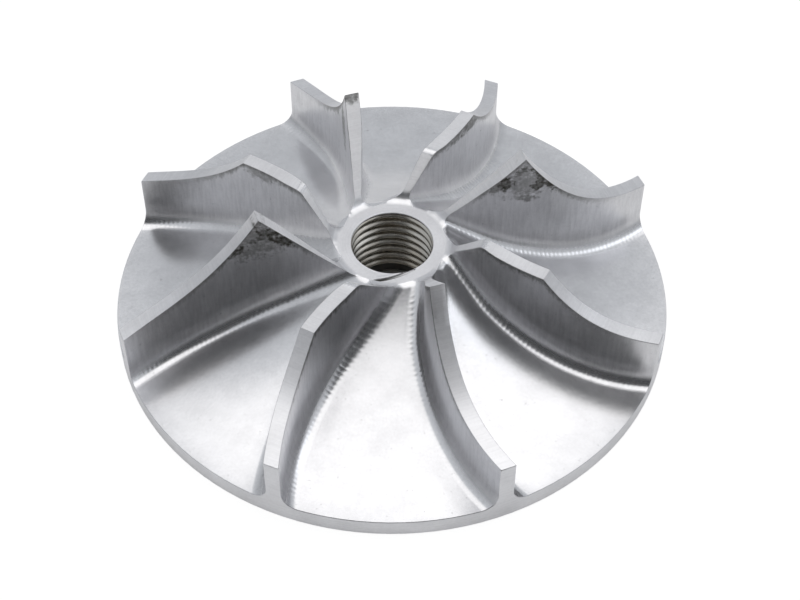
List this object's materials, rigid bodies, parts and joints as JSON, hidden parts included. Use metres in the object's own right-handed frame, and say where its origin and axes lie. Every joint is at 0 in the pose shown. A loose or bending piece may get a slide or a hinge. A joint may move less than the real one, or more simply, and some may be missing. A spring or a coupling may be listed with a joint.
{
  "type": "water pump impeller",
  "caption": "Open centrifugal pump impeller: back plate sweeping up to a threaded hub, with upright curved vanes of alternating height.",
  "frame": {"origin": "centre of the flat back face, on the bore's axis", "axes": "+Z along the bore's axis, from the flat back face towards the vanes and the hub nose; +X and +Y lie in the back face, midway between vane tips"},
  "size_m": [0.072, 0.072, 0.0227],
  "materials": {
    "machined_aluminium": "milled, bright, with fine cutter marks",
    "insert_steel": "drawn wire, slightly darkened"
  },
  "bodies": {
    "root": {"impeller_body": "machined_aluminium", "thread_insert": "insert_steel"}
  },
  "joints": []
}
